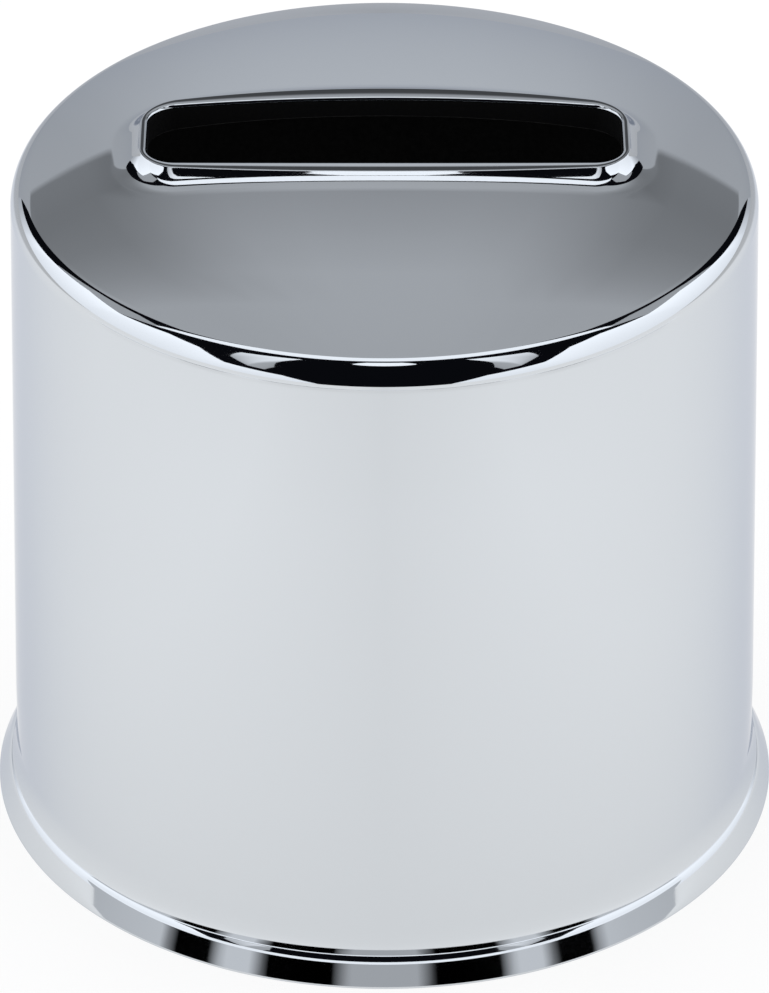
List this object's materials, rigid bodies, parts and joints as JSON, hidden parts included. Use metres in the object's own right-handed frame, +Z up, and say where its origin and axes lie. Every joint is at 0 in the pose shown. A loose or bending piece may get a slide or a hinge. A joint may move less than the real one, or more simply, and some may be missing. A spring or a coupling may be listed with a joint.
{
  "type": "wheel center cap",
  "caption": "One-piece chrome push-through wheel center cap: a gently tapered round wall with a flanged base and a domed top that has a collared slot.",
  "frame": {"origin": "middle of the base ring that the cap stands on", "axes": "+Z up the axis of the cap to the domed top, +X along the slot"},
  "size_m": [0.1302, 0.1302, 0.1233],
  "materials": {
    "chrome_shell": "bright chrome plate on moulded plastic, dark inside"
  },
  "bodies": {
    "root": {"center_cap": "chrome_shell"}
  },
  "joints": []
}
